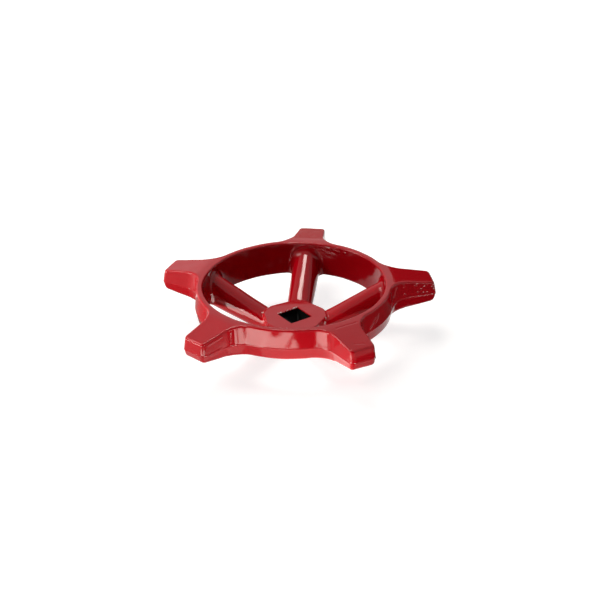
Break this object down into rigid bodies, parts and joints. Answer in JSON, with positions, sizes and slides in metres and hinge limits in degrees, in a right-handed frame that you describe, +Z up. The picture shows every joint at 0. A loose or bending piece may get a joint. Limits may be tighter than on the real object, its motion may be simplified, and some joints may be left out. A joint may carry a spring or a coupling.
{
  "type": "valve handwheel",
  "caption": "Lobed valve handwheel with a tall rim, spokes that slope down to a low hub and a square hole for the stem; red painted casting.",
  "frame": {"origin": "centre of the square hole, in the plane of the hub's flat underside", "axes": "+Z up along the wheel's axis, out of the hub's top face towards the nut; +X and +Y along the sides of the square hole"},
  "size_m": [0.1255, 0.1234, 0.027],
  "materials": {
    "red_paint": "gloss"
  },
  "bodies": {
    "root": {"rim": "red_paint", "hub": "red_paint", "spoke_1": "red_paint", "spoke_2": "red_paint", "spoke_3": "red_paint", "spoke_4": "red_paint", "spoke_5": "red_paint", "grip_lobe_1": "red_paint", "grip_lobe_2": "red_paint", "grip_lobe_3": "red_paint", "grip_lobe_4": "red_paint", "grip_lobe_5": "red_paint"}
  },
  "joints": []
}
